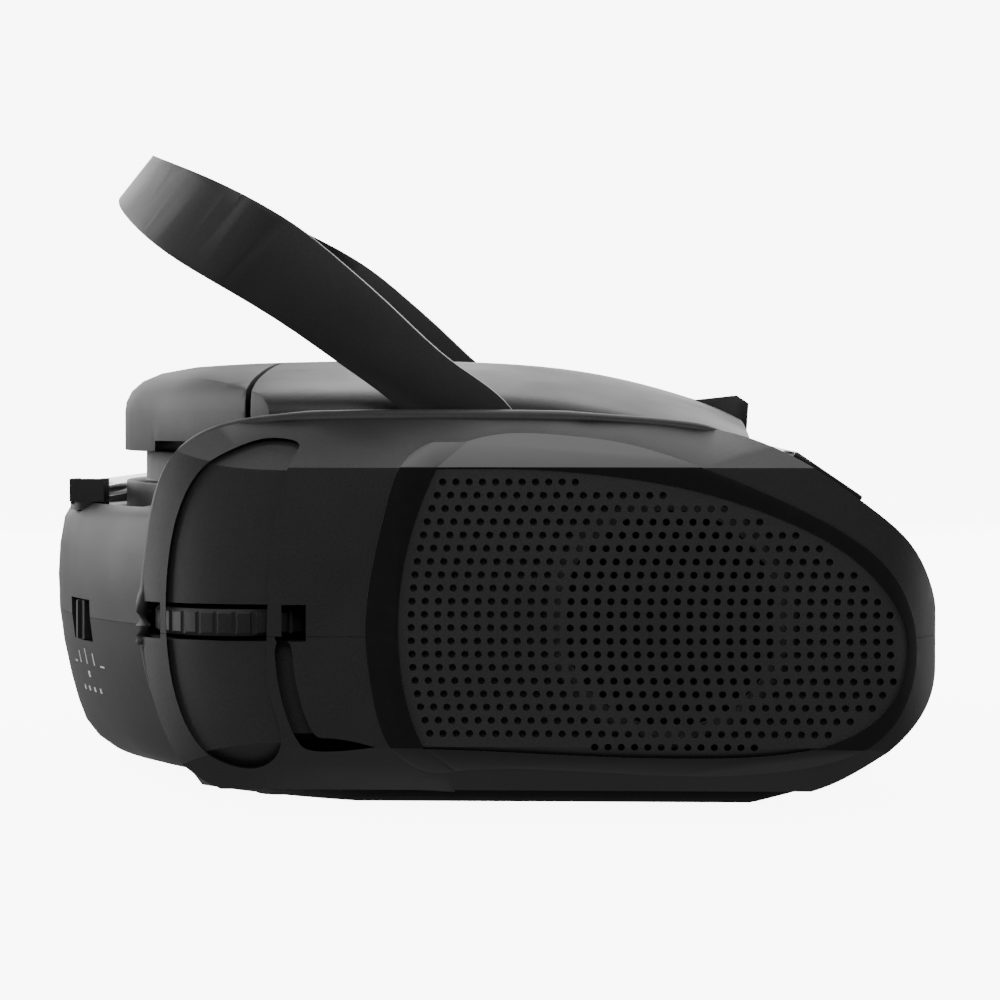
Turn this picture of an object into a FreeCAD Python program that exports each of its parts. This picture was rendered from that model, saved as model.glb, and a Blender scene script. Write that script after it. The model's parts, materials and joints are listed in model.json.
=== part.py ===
import FreeCAD, Part
import math
import os
from FreeCAD import Placement, Rotation, Vector

# A compact CD and radio boombox.  +Z is up, the front faces -Y, and +X is the
# listener's right.  The origin is the middle of the footprint, on the surface
# that the rubber feet stand on.  All sizes are millimetres and degrees.

DIMENSIONS = {
    "body_width": 290,
    "body_half_depth": 127.5,
    "rim_height": 105.5,
    "body_bottom": 5.5,
    "parting_height": 47,
    "deck_height": 79,
    "deck_floor": 76.6,
    "neck_radius": 128,
    "plinth_radius": 134,
    "lid_corner": 26,
    "back_radius": 155,
    "back_centre": -27,
    "cavity_inset": 4.6,
    "pod_inner": 121.4,
    "lid_half_width": 109,
    "lid_front": -80,
    "lid_rear": 57.2,
    "cover_front": 58.8,
    "lid_hinge_y": 56,
    "lid_hinge_z": 118.2,
    "seat_height": 97,
    "channel_floor": 86.5,
    "visor_radius": 134.4,
    "pivot_y": -8,
    "pivot_z": 97,
    "handle_raised": 38.7,
    "handle_arm": 9.8,
    "disc_y": -11,
    "well_radius": 63,
    "well_floor": 86,
    "speaker_y": -57,
    "speaker_z": 51,
    "speaker_radius": 35,
    "wheel_radius": 24,
    "wheel_thickness": 7,
    "wheel_z": 50.5,
    "wheel_shows": 2.6,
    "antenna_y": 111,
    "antenna_z": 82.6,
}

doc = FreeCAD.newDocument("boombox")
sheet = doc.addObject("Spreadsheet::Sheet", "dims")
for row, (alias, number) in enumerate(DIMENSIONS.items(), start=1):
    sheet.set("A%d" % row, alias)
    sheet.set("B%d" % row, str(number))
    sheet.setAlias("B%d" % row, alias)
doc.recompute()

nodes = []


def size(alias):
    return float(sheet.get(alias))


# ---------------------------------------------------------------- helpers

AXES = {
    "XY": Rotation(),
    "YZ": Rotation(Vector(0, 1, 0), Vector(0, 0, 1), Vector(1, 0, 0), "ZXY"),
    "XZ": Rotation(Vector(1, 0, 0), Vector(0, 0, 1), Vector(0, -1, 0), "ZXY"),
}
TURN = {"X": Rotation(Vector(0, 1, 0), 90), "Y": Rotation(Vector(1, 0, 0), -90), "Z": Rotation()}


def set_size(item, name, value):
    """Sets a property to a number, or binds it to the sheet when value is an expression."""
    if isinstance(value, str):
        item.setExpression(name, value)
    else:
        setattr(item, name, value)


def outline(name, plane, runs, offset=0.0):
    """A closed outline: runs of two points are straight, of three are arcs, a lone run closes on itself."""
    sketch = doc.addObject("Sketcher::SketchObject", name)
    normal = AXES[plane].multVec(Vector(0, 0, 1))
    sketch.Placement = Placement(normal * offset, AXES[plane])
    for run in runs:
        points = [Vector(a, b, 0) for a, b in run]
        if len(points) == 2:
            sketch.addGeometry(Part.LineSegment(points[0], points[1]), False)
        elif len(points) == 3:
            sketch.addGeometry(Part.Arc(points[0], points[1], points[2]), False)
        else:
            curve = Part.BSplineCurve()
            curve.interpolate(Points=points, PeriodicFlag=len(runs) == 1)
            sketch.addGeometry(curve, False)
    return sketch


def polygon(points):
    """The straight runs of a closed polygon."""
    return [[points[i], points[(i + 1) % len(points)]] for i in range(len(points))]


def prism(name, sketch, low, high):
    """The sketch pushed along its own normal, from low to high."""
    solid = doc.addObject("Part::Extrusion", name)
    solid.Base = sketch
    solid.DirMode = "Normal"
    solid.Solid = True
    set_size(solid, "LengthFwd", high)
    set_size(solid, "LengthRev", -low if not isinstance(low, str) else "-(%s)" % low)
    return solid


def box(name, corner, lengths, turn=None):
    """A block from its lowest corner; turn is a Rotation about that corner."""
    solid = doc.addObject("Part::Box", name)
    for side, value in zip(("Length", "Width", "Height"), lengths):
        set_size(solid, side, value)
    solid.Placement = Placement(Vector(*corner), turn or Rotation())
    return solid


def cylinder(name, start, radius, length, axis="Z"):
    """A round bar that starts at a point and runs along an axis."""
    solid = doc.addObject("Part::Cylinder", name)
    set_size(solid, "Radius", radius)
    set_size(solid, "Height", length)
    solid.Placement = Placement(Vector(*start), TURN[axis])
    return solid


def fuse(name, *parts):
    solid = doc.addObject("Part::MultiFuse", name)
    solid.Shapes = list(parts)
    return solid


def common(name, *parts):
    solid = doc.addObject("Part::MultiCommon", name)
    solid.Shapes = list(parts)
    return solid


def cut(name, base, *tools):
    solid = doc.addObject("Part::Cut", name)
    solid.Base = base
    solid.Tool = tools[0] if len(tools) == 1 else fuse(name + "_tools", *tools)
    return solid


def turned(name, profile, centre, axis="Z"):
    """A Body whose closed profile (radius, height) is revolved once about an axis."""
    body = doc.addObject("PartDesign::Body", name)
    sketch = body.newObject("Sketcher::SketchObject", name + "_profile")
    plane = next(f for f in body.Origin.OriginFeatures if f.Role == "XZ_Plane")
    sketch.AttachmentSupport = [(plane, "")]
    sketch.MapMode = "FlatFace"
    for start, end in polygon(profile):
        sketch.addGeometry(Part.LineSegment(Vector(*start, 0), Vector(*end, 0)), False)
    revolution = body.newObject("PartDesign::Revolution", name + "_turn")
    revolution.Profile = sketch
    revolution.ReferenceAxis = (sketch, ["V_Axis"])
    revolution.Angle = 360
    sketch.Visibility = False
    body.Placement = Placement(Vector(*centre), TURN[axis])
    return body


def padded(name, points, length, placement, round_edges=0.0):
    """A Body padded from a polygon in its XY plane, with its far edges rounded."""
    body = doc.addObject("PartDesign::Body", name)
    sketch = body.newObject("Sketcher::SketchObject", name + "_outline")
    plane = next(f for f in body.Origin.OriginFeatures if f.Role == "XY_Plane")
    sketch.AttachmentSupport = [(plane, "")]
    sketch.MapMode = "FlatFace"
    for start, end in polygon(points):
        sketch.addGeometry(Part.LineSegment(Vector(*start, 0), Vector(*end, 0)), False)
    pad = body.newObject("PartDesign::Pad", name + "_pad")
    pad.Profile = sketch
    set_size(pad, "Length", length)
    doc.recompute()
    if round_edges:
        top = max(pad.Shape.Faces, key=lambda face: face.CenterOfMass.z)
        number = 1 + next(i for i, f in enumerate(pad.Shape.Faces) if f.isSame(top))
        fillet = body.newObject("PartDesign::Fillet", name + "_round")
        fillet.Base = (pad, ["Face%d" % number])
        fillet.Radius = round_edges
    body.Placement = placement
    return body


def node(name, item):
    """Marks a finished sub-part: its Label is the name of its file."""
    item.Label = name
    nodes.append(item)
    return item


def mirrored(name, item):
    """The same piece on the other end of the boombox."""
    twin = doc.addObject("Part::Mirroring", name)
    twin.Source = item
    twin.Normal = Vector(1, 0, 0)
    return twin


def both_ends(name, left):
    """The left piece and its mirror image, each a node."""
    node("left_" + name, left)
    return node("right_" + name, mirrored("right_" + name, left))


# ------------------------------------------------------- outlines of the body

def shifted(points, inset):
    """An open run of points moved inward by the inset, across its own direction."""
    moved = []
    for i, (a, b) in enumerate(points):
        before = points[max(i - 1, 0)]
        after = points[min(i + 1, len(points) - 1)]
        along = Vector(after[0] - before[0], after[1] - before[1], 0).normalize()
        moved.append((a + along.y * inset, b - along.x * inset))
    return moved


END_X = size("body_width") / 2
FRONT_Y = -size("body_half_depth")
BOTTOM = size("body_bottom")

# From the front of the footprint, up over the nose, back along the rim, down the rear.
SIDE_RUN = [
    (-94, BOTTOM), (-102.5, 9.6), (-110, 15), (-117, 20.8), (-122, 26.4), (-125.6, 33), (-127.5, 43),
    (-127, 53), (-124.2, 62), (-119.6, 70.4), (-108, 81),
    (-92, 92), (-78, 98.5), (-50, 103.2), (-15, 105.2), (25, 105.2), (50, 103.6), (63, 101),
    (70.5, 97.2), (75.5, 91.6), (78.8, 84), (81.6, 70), (83.2, 52), (82, 38), (77.6, 24), (71.5, 13.4),
    (62, BOTTOM),
]
# The front of the plan outline, from the left end to the middle.
PLAN_RUN = [
    (-END_X, -98), (-144.8, -108), (-143.2, -116.5), (-139, -122.6), (-131.5, -126.2), (-117, -127.2),
    (-60, FRONT_Y + 0.1), (0, FRONT_Y),
]
# The rear of the plan outline, from the left end to the middle.
PLAN_REAR = [(-END_X, 44), (-144, 57), (-140.6, 69), (-133.6, 79.6), (-121, 88), (-100, 92.6), (-50, 94.6), (0, 95)]


def side_outline(name, inset):
    run = shifted(SIDE_RUN, inset)
    low = BOTTOM + inset
    run[0] = (SIDE_RUN[0][0] + inset, low)
    run[-1] = (SIDE_RUN[-1][0] - inset, low)
    return outline(name, "YZ", [run, [run[-1], run[0]]])


def plan_outline(name, inset):
    """Straight ends joined by soft splines in front and behind."""
    front = [(-END_X + inset, PLAN_RUN[0][1])] + shifted(PLAN_RUN, -inset)[1:-1]
    front = front + [(0, PLAN_RUN[-1][1] + inset)] + mirror_points(front)
    rear = [(-END_X + inset, PLAN_REAR[0][1])] + shifted(PLAN_REAR, inset)[1:-1]
    rear = rear + [(0, PLAN_REAR[-1][1] - inset)] + mirror_points(rear)
    runs = [front, [front[-1], rear[-1]], list(reversed(rear)), [rear[0], front[0]]]
    return outline(name, "XY", runs)


def flip(point):
    """The mirror image of a point on the other side of the middle plane."""
    return (-point[0], point[1])


def mirror_points(points):
    return [flip(point) for point in reversed(points)]


def front_outline(name, inset):
    """Flat shoulders lean in from the ends to the rim above and to the bottom below."""
    side = END_X + 6
    low, high = BOTTOM - 1 + inset, size("rim_height") + 1 - inset
    right = [(0, low), (side - 20 - inset, low), (side, 24.2 + 1.4 * inset), (side, 86.8 - 1.2 * inset),
             (side - 26, 105 - 1.2 * inset), (side - 30, high), (0, high)]
    return outline(name, "XZ", polygon(right + mirror_points(right[1:-1])))


def body_form(name, inset):
    """The outer shape of the body, drawn in by the inset on every side."""
    side = prism(name + "_side", side_outline(name + "_side_line", inset), -160, 160)
    plan = prism(name + "_plan", plan_outline(name + "_plan_line", inset), 0, 130)
    front = prism(name + "_front", front_outline(name + "_front_line", inset), -140, 140)
    return common(name, side, plan, front)


def rear_bulge(name, inset):
    """The rounded back of the case, behind the end caps, below the rear deck."""
    low, deck = BOTTOM - 0.5 + inset, size("deck_height") - 1.7 * inset
    wall = [(134, low), (139.6, low + 1.6), (143.4, low + 4.4), (146.6, low + 8.6), (148.8, 19.5 + inset),
            (150.8, 27), (152.9, 37), (154.2, 47), (154.5, 57), (154, 66), (152.6, 74 - inset),
            (151, deck - 2.2), (147.6, deck)]
    profile = [(0, low)] + [(radius - inset, z) for radius, z in wall] + [(0, deck)]
    round_back = turned(name + "_round", profile, (0, size("back_centre"), 0))
    rear = box(name + "_rear", (-140, 0, 0), (280, 140, 120))
    shoulders = prism(name + "_front", front_outline(name + "_front_line", inset), -140, 10)
    return common(name, round_back, rear, shoulders)


# ------------------------------------------------------- outlines on the end face

GRILLE_FRONT = [
    (3.9, 91), (-23, 90.7), (-42, 89), (-64, 85), (-86, 77.6), (-102, 69), (-112, 59.5), (-117.5, 50),
    (-118, 40), (-113.5, 29.5), (-102, 21), (-88, 17), (-66, 15.4), (-30, 16.2), (7.2, 17.8),
]
GRILLE_BACK = [(7.2, 17.8), (12, 31), (14, 48), (12.8, 64), (9.6, 77), (3.9, 91)]
TRIM_FRONT = [
    (-3.3, 97.6), (-12, 99.6), (-28, 99.4), (-44, 97.4), (-64, 91.4), (-86, 82.2), (-103, 73.2),
    (-114.5, 63), (-120, 50), (-120, 37), (-114.5, 24.5), (-102, 15.6), (-86, 11.6), (-60, 10.2), (-0.5, 11.4),
]
CRESCENT_BACK = [(-0.5, 11.4), (9, 12), (15.5, 17.5), (20.6, 32), (22.4, 48), (20.9, 64),
                 (17, 81), (12.4, 92.8), (5.5, 97.6)]
BAND = [
    (40.5, 96), (44.6, 84), (47.4, 66), (48.2, 47.5), (47, 30), (44.8, 18), (50, 12.4), (60, 13.4), (67.6, 19.6),
    (73.4, 32), (75.8, 50), (74.8, 68), (70.6, 83), (64, 92), (55, 97), (46, 98.6),
]


def end_prism(name, runs, low=-150, high=-90):
    """An outline on the left end face, pushed through the wall."""
    return prism(name, outline(name + "_line", "YZ", runs), low, high)


def trim_runs():
    """The glossy area as a whole: surround and crescent together."""
    return [TRIM_FRONT, CRESCENT_BACK, [CRESCENT_BACK[-1], TRIM_FRONT[0]]]


def end_skin(name, area, outer, inner):
    """The part of the end wall between two depths, inside an outline."""
    return cut(name, common(name + "_solid", outer, area), inner)


# --------------------------------------------------------------- the dome

def rounded_front(name, half, front, radius, low, high):
    """A block, deep towards the rear, whose two front corners are rounded."""
    knee = radius * (1 - math.sqrt(0.5))
    left = [[(-half + radius, front), (-half + knee, front + knee), (-half, front + radius)],
            [(-half, front + radius), (-half, 150)]]
    right = [[flip(b) for b in reversed(run)] for run in reversed(left)]
    runs = [right[-1], [right[-1][-1], left[0][0]]] + left + [[(-half, 150), (half, 150)], right[0]]
    return prism(name, outline(name + "_line", "XY", runs), low, high)


CROWN = [(-84, 101), (-74, 106.6), (-60, 111.4), (-44, 115.6), (-26, 118.7), (0, 120.6), (30, 121),
         (58, 120.6), (80, 119.6), (96, 118.2), (112, 116.6)]


def dome_section(name, y, crown, inset):
    """A cross-section of the dome: a shallow crown that turns down at both sides."""
    half = size("lid_half_width") - inset
    top = crown - inset
    right = [(half, top - 15.5), (half - 1.2, top - 12.6), (half - 8, top - 9), (half - 30, top - 5)]
    left = [(-x, z) for x, z in reversed(right)]
    base = 80
    runs = [right + [(0, top)] + left, [left[-1], (-half, base)],
            [(-half, base), (half, base)], [(half, base), right[0]]]
    return outline(name, "XZ", runs, -y)


def dome(name, inset):
    """The swept top of the lid and its rear cover, rounded off along the back arc."""
    loft = doc.addObject("Part::Loft", name + "_loft")
    loft.Sections = [dome_section("%s_section_%d" % (name, i), y, crown, inset)
                     for i, (y, crown) in enumerate(CROWN)]
    loft.Solid = True
    rim = size("visor_radius") - inset
    shoulder = [(0, 105.5), (0.4, 108.4), (2, 111.6), (5.4, 114.6), (11, 117), (24, 119.4), (48, 121.6), (80, 123)]
    profile = [(0, 70), (rim, 70)] + [(rim - r, z - inset) for r, z in shoulder] + [(0, 126 - inset)]
    crown = turned(name + "_crown", profile, (0, size("back_centre"), 0))
    plan = rounded_front(name + "_plan", size("lid_half_width") - inset, size("lid_front") + inset,
                         size("lid_corner") - inset, 70, 140)
    return common(name, loft, crown, plan)


# ------------------------------------------------------------ build the case

outer_form = body_form("outer_form", 0)
panel_form = body_form("panel_form", 1.4)
trim_form = body_form("trim_form", -0.3)
recess_form = body_form("recess_form", 2.4)
cavity_form = body_form("cavity_form", size("cavity_inset"))


def case_outer():
    """Solid outside of the case: end caps with a sunk band, and the rear bulge."""
    band = end_prism("band_left", [BAND])
    band_cut = cut("band_cut", fuse("bands", band, mirrored("band_right", band)), panel_form)
    return fuse("case_outer", cut("caps", outer_form, band_cut), rear_bulge("bulge", 0))


def skirt():
    """The dark base under the case, with sloping front and rear ends."""
    side = prism("skirt_side", outline("skirt_line", "YZ", polygon(
        [(-78, 2), (72, 2), (77, 7), (77, 12), (-106, 12), (-103, 6.8)])), -128, 128)
    plan = cylinder("skirt_round", (0, size("back_centre"), 0), 138.5, 20)
    return common("skirt", side, plan)


def case_cavity():
    return fuse("case_cavity", cavity_form, rear_bulge("bulge_cavity", 3))


def top_cuts():
    """What is taken off the top: lid seat, handle channels and the crossbar's rest."""
    half = size("lid_half_width") + 0.6
    seat = rounded_front("lid_seat", half, size("lid_front") - 0.7, size("lid_corner") + 0.6,
                         size("seat_height"), 140)
    channels = []
    for side in (-1, 1):
        low = min(side * half, side * size("pod_inner"))
        channels.append(box("channel_%d" % side, (low, -23, size("channel_floor")),
                            (size("pod_inner") - half, 92, 40)))
    ring_out = cylinder("rest_outside", (0, size("back_centre"), 94), 175, 40)
    ring_in = cylinder("rest_inside", (0, size("back_centre"), 90), 140.5, 46)
    rear_half = box("rest_half", (-size("pod_inner"), 68.5, 80), (2 * size("pod_inner"), 120, 60))
    return [seat] + channels + [common("rest", cut("rest_ring", ring_out, ring_in), rear_half)]


def channel_linings():
    """Walls and floors that close the case under the handle channels and the lid seat."""
    half = size("lid_half_width") + 0.6
    outer = box("lining_outer", (-size("pod_inner") - 2.4, -26, size("channel_floor") - 2.4),
                (2 * size("pod_inner") + 4.8, 120, 30))
    middle = box("lining_middle", (-half + 2.4, -30, size("channel_floor") - 3),
                 (2 * half - 4.8, 130, 40))
    floor = box("lining_floor", (-half, -84, size("seat_height") - 2.4), (2 * half, 180, 2.4))
    return common("linings", fuse("lining_pair", cut("lining_walls", outer, middle), floor), outer_form)


def rear_plinth():
    """The stepped round neck that carries the rear top cover above the deck."""
    behind = box("plinth_half", (-150, 84, 60), (300, 60, 60))
    centre_y = size("back_centre")
    foot = size("deck_floor") + 0.05
    ring = cut("plinth_ring", cylinder("plinth_round", (0, centre_y, foot), "dims.plinth_radius", 85 - foot),
               cylinder("plinth_hollow", (0, centre_y, 70), "dims.plinth_radius - 2.4", 12.6))
    neck = cut("neck_ring", cylinder("neck_round", (0, centre_y, 80), "dims.neck_radius", 14),
               cylinder("neck_hollow", (0, centre_y, 79), "dims.neck_radius - 2.4", 17))
    return common("rear_plinth", fuse("plinth_and_neck", ring, neck), behind)


def deck_dish():
    """The rear deck is sunk inside a rounded rim."""
    dish = cut("dish_ring", cylinder("dish_round", (0, size("back_centre"), size("deck_floor")), 147.5, 20),
               cylinder("dish_core", (0, size("back_centre"), 60), "dims.plinth_radius - 1", 60))
    pocket = cylinder("antenna_pocket", (-52, size("antenna_y"), size("deck_floor")), 6.7, 20)
    return fuse("deck_dish_and_pocket",
                common("deck_dish", dish, box("dish_half", (-150, 89.2, 60), (300, 60, 60))), pocket)


WHEEL_ANGLE = 16.0
WHEEL_SPOT = (141.0, 62.6)


def wheel_centre(side):
    """A thumb wheel sits inside the end wall, where that begins to turn to the rear."""
    inside = size("wheel_radius") - size("wheel_shows")
    turn = math.radians(WHEEL_ANGLE)
    return (side * (WHEEL_SPOT[0] - inside * math.cos(turn)), WHEEL_SPOT[1] - inside * math.sin(turn))


def wheel_slot(side):
    """The slot in the end wall that the thumb wheel shows through, wider on the inside."""
    x, y = wheel_centre(side)
    turn = Rotation(Vector(0, 0, 1), WHEEL_ANGLE if side > 0 else 180 - WHEEL_ANGLE)
    centre = Vector(x, y, size("wheel_z") - 4.8)
    parts = []
    for part, start, reach, half in (("relief", -10, 20.2, 24.8), ("mouth", 0, 40, 13.3)):
        block = box("wheel_%s_%d" % (part, side), (0, 0, 0), (reach - start, 2 * half, 9.6))
        block.Placement = Placement(centre + turn.multVec(Vector(start, -half, 0)), turn)
        parts.append(block)
    return fuse("wheel_slot_%d" % side, *parts)


SWITCH_ANGLE = 26.5
JACK_ANGLE = -28.0


def switch_frame(side):
    """Where a slide switch sits on the back arc, with X pointing out of the wall."""
    radius = size("back_radius") - 0.5
    angle = math.radians(SWITCH_ANGLE)
    spot = Vector(side * radius * math.sin(angle),
                  size("back_centre") + radius * math.cos(angle), 46)
    return Placement(spot, Rotation(Vector(0, 0, 1), 90 - side * SWITCH_ANGLE))


def placed_box(name, frame, corner, lengths):
    """A block given in the frame of a sloping place."""
    solid = doc.addObject("Part::Box", name)
    for side, value in zip(("Length", "Width", "Height"), lengths):
        set_size(solid, side, value)
    solid.Placement = frame.multiply(Placement(Vector(*corner), Rotation()))
    return solid


SLOPE = {"lens": ((-91, 92.6), (-109.5, 80)), "upper": ((-110.2, 79.6), (-118.4, 72)),
         "lower": ((-119, 71.4), (-124.4, 63))}
SLOPE_HALF = 92


def slope_frame(row):
    """A frame on the front slope: X along the front, Y up the slope, Z out of it."""
    (top_y, top_z), (low_y, low_z) = SLOPE[row]
    up = Vector(0, top_y - low_y, top_z - low_z).normalize()
    out = Vector(1, 0, 0).cross(up)
    middle = Vector(0, (top_y + low_y) / 2, (top_z + low_z) / 2)
    return Placement(middle, Rotation(Vector(1, 0, 0), up, out, "ZXY"))


def slope_height(row):
    (top_y, top_z), (low_y, low_z) = SLOPE[row]
    return math.hypot(top_y - low_y, top_z - low_z)


def slope_openings():
    """The window under the display lens and the holes that the key stems pass through."""
    holes = []
    for row in ("lens", "upper", "lower"):
        frame = slope_frame(row)
        tall = slope_height(row)
        half = 42 if row == "lens" else SLOPE_HALF + 0.6
        trim = 3 if row == "lens" else -0.3
        holes.append(placed_box("opening_" + row, frame, (-half, -tall / 2 + trim, -9),
                                (2 * half, tall - 2 * trim, 18)))
    return holes


def speaker_opening():
    return cylinder("speaker_opening", (-150, size("speaker_y"), size("speaker_z")),
                    "dims.speaker_radius - 2", 45, "X")


def well_opening():
    return cylinder("well_opening", (0, size("disc_y"), 75), "dims.well_radius + 0.5", 40)


def build_case():
    """The lower and upper housings, parted at one level all the way round."""
    trim_area = end_prism("trim_area", trim_runs())
    speaker = speaker_opening()
    end_cuts = cut("trim_recess", fuse("trim_areas", trim_area, mirrored("trim_area_right", trim_area)),
                   recess_form)
    shell = cut("case_shell", case_outer(), case_cavity())
    full = fuse("case_full", cut("case_dished", shell, deck_dish()), channel_linings())
    tools = top_cuts() + slope_openings() + [
        end_cuts, speaker, mirrored("speaker_opening_right", speaker), well_opening(),
        wheel_slot(-1), wheel_slot(1)]
    for side in (-1, 1):
        tools.append(placed_box("switch_hole_%d" % side, switch_frame(side), (-8, -9, -6), (20, 18, 12)))
    opened = cut("case_opened", full, *tools)
    parting = size("parting_height")
    above = box("above_parting", (-200, -200, parting + 0.05), (400, 400, 100))
    below = box("below_parting", (-200, -200, 0), (400, 400, parting - 0.05))
    upper = node("upper_housing", common("upper_housing", opened, above))
    node("rear_neck", cut("rear_neck", rear_plinth(), fuse("around_neck", upper, doc.getObject("outer_form"))))
    lower = cut("lower_shell", common("lower_part", opened, below), battery_hole(2.6), inlet_hole(),
                jack_piece("jack_hole", 4.6, -20, 40))
    base = cut("base_ring", skirt(), box("skirt_core", (-110, -90, 4.4), (220, 150, 20)), battery_hole(0))
    node("lower_housing", lower)
    node("base_skirt", cut("base_skirt", base, doc.getObject("case_outer")))


def jack_piece(name, radius, start, length):
    """A bar at the jack's place on the back wall; the jack itself has its bore cut later."""
    frame = Placement(Vector(0, size("back_centre"), 30), Rotation(Vector(0, 0, 1), 90 + JACK_ANGLE))
    barrel = doc.addObject("Part::Cylinder", name)
    barrel.Radius = radius
    barrel.Height = length
    reach = size("back_radius") + start
    barrel.Placement = frame.multiply(Placement(Vector(reach, 0, 0), TURN["X"]))
    return barrel


def battery_hole(margin):
    """The way in for the cells, through the floor of the case and through the skirt."""
    return box("battery_hole_%d" % int(10 * margin), (-62 - margin, -30 - margin, -1),
               (124 + 2 * margin, 72 + 2 * margin, 14))


def inlet_hole():
    return box("inlet_hole", (24, 105, 18), (22, 40, 14))


# ------------------------------------------------------------ top and handle

def build_dome():
    """The lid and the fixed rear cover are two pieces of one dome."""
    outside = dome("dome_outside", 0)
    inside = dome("dome_inside", 2.4)
    shell = cut("dome_shell", outside, inside)
    build_lid(outside, inside, shell)
    build_rear_cover(outside, shell)
    node("lid_hinge_pin", cylinder("lid_hinge_pin", hinge_point(-22), 1.0, 44, "X"))


def hinge_point(x):
    return (x, size("lid_hinge_y"), size("lid_hinge_z"))


def build_lid(outside, inside, shell):
    """The lid carries a ring that holds the disc down, a finger tab and the middle knuckle."""
    front, rear, low = size("lid_front"), size("lid_rear"), size("seat_height") + 0.5
    top = common("lid_dome", shell, box("lid_space", (-150, front, low), (300, rear - front, 60)))
    front_wall = common("lid_front_wall", outside, box("lid_front_slab", (-150, front, low), (300, 2.6, 40)))
    ring = cut("clamp_ring", cylinder("clamp_outer", (0, size("disc_y"), 104), 16, 15),
               cylinder("clamp_inner", (0, size("disc_y"), 100), 13, 30))
    tab = padded("finger_tab", [(-82, 99), (-79, 98.4), (-70, 104), (-66, 109), (-79, 110.4), (-82.6, 108)],
                 44, Placement(Vector(-22, 0, 0), AXES["YZ"]))
    knuckle = cylinder("lid_knuckle", hinge_point(-12), 2.2, 24, "X")
    solid = fuse("lid_solid", top, front_wall, common("clamp_boss", ring, inside), tab)
    notches = [box("lid_notch_%d" % side, (side * 17.2 - 5.3, 53.2, 110), (10.6, 8, 20)) for side in (-1, 1)]
    opened = cut("lid_notched", solid, *notches)
    node("cd_lid", cut("cd_lid", fuse("lid_with_knuckle", opened, knuckle),
                       cylinder("lid_bore", hinge_point(-30), 1.05, 60, "X")))


def build_rear_cover(outside, shell):
    """The fixed rear of the dome overhangs the deck and carries the two outer knuckles."""
    front, low = size("cover_front"), size("seat_height") - 3
    top = common("cover_dome", shell, box("cover_space", (-150, front, low), (300, 70, 60)))
    floor = common("cover_floor", outside, box("cover_plate", (-150, front, low), (300, 80, 2.4)))
    wall = common("cover_wall", outside, box("cover_slab", (-150, front, low), (300, 2, 60)))
    seat = box("cover_seat", (-115, 40, 90), (230, 49.4, 7.1))
    knuckles = []
    for side in (-1, 1):
        knuckles.append(cylinder("cover_knuckle_%d" % side, hinge_point(side * 17.2 - 4.8), 2.2, 9.6, "X"))
        knuckles.append(box("cover_web_%d" % side, (side * 17.2 - 4.8, 56, 116), (9.6, 4, 3.6)))
    solid = fuse("cover_solid", cut("cover_body", fuse("cover_skin", top, floor, wall), seat), *knuckles)
    node("rear_top_cover", cut("rear_top_cover", solid, cylinder("cover_bore", hinge_point(-30), 1.03, 60, "X")))


HANDLE_TOP = [(-9.6, 0), (-7.5, 6.6), (-1, 10.8), (20, 11.4), (42, 12.6), (61, 13.6), (76, 13.6),
              (90, 11.8), (105, 8.4), (119, 4.6), (131, 2.2)]
HANDLE_BOTTOM = [(136.5, -12.8), (120, -13.8), (100, -14), (84, -12), (61, -9), (42, -7.8), (22, -7.4),
                 (0, -9.2), (-6.5, -6.8), (-9.6, 0)]


HANDLE_PLAN = [(-120.4, 70), (-119.6, 84.6), (-114, 98.4), (-101, 108.8), (-78, 116.8), (-42, 123.4), (0, 125.8)]


def handle_plan(name, inset, front):
    """The U of the handle seen from above when folded, drawn in by the inset."""
    left = shifted(HANDLE_PLAN, inset)[:-1]
    left[0] = (HANDLE_PLAN[0][0] + inset, HANDLE_PLAN[0][1])
    curve = left + [(0, HANDLE_PLAN[-1][1] - inset)] + mirror_points(left)
    start = (left[0][0], front)
    runs = [curve, [curve[-1], flip(start)], [flip(start), start], [start, curve[0]]]
    return prism(name, outline(name + "_line", "XY", runs), 50, 150)


def build_handle():
    """A flat U: two arms joined by a crossbar that follows the back arc, arched in side view."""
    pivot_y, pivot_z = size("pivot_y"), size("pivot_z")
    top = [(u + pivot_y, v + pivot_z) for u, v in HANDLE_TOP]
    bottom = [(u + pivot_y, v + pivot_z) for u, v in HANDLE_BOTTOM]
    arch = prism("handle_arch", outline("handle_side", "YZ", [top, [top[-1], bottom[0]], bottom]), -125, 125)
    outside = handle_plan("handle_outside", 0, -40)
    inside = handle_plan("handle_inside", size("handle_arm"), -60)
    bores = [cylinder("handle_bore_%d" % side, (side * 116 - 10, pivot_y, pivot_z), 3.06, 20, "X")
             for side in (-1, 1)]
    frame = cut("handle_folded", common("handle_arched", arch, outside), inside, *bores)
    doc.recompute()
    # The underside of the crossbar is a separate grip cover, screwed on from below.
    grip_arch = prism("grip_arch", outline("grip_side", "YZ", polygon(
        [(108, 82), (125.4, 82.6), (125.2, 86), (108, 86)])), -70, 70)
    grip_ring = cut("grip_ring", handle_plan("grip_out", 2.6, -40), handle_plan("grip_in", 7.6, -50))
    grip = common("grip_folded", grip_arch, grip_ring)
    body = cut("handle_body", frame, grip)
    raise_about(node("handle", body))
    raise_about(node("handle_grip_cover", common("grip_cover", grip, common("grip_limit", arch, outside))))

    pins = [cylinder("handle_pin_%d" % side, (side * 117.7 - 7.9, pivot_y, pivot_z), 3.0, 15.8, "X")
            for side in (-1, 1)]
    node("handle_pivot_pins", fuse("handle_pivot_pins", *pins))


def raise_about(item):
    """Turns a piece of the folded handle up to its rest pose about the pivot."""
    turn = Rotation(Vector(1, 0, 0), size("handle_raised"))
    pivot = Vector(0, size("pivot_y"), size("pivot_z"))
    item.Placement = Placement(pivot - turn.multVec(pivot), turn)


# ------------------------------------------------------------ the ends

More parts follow.
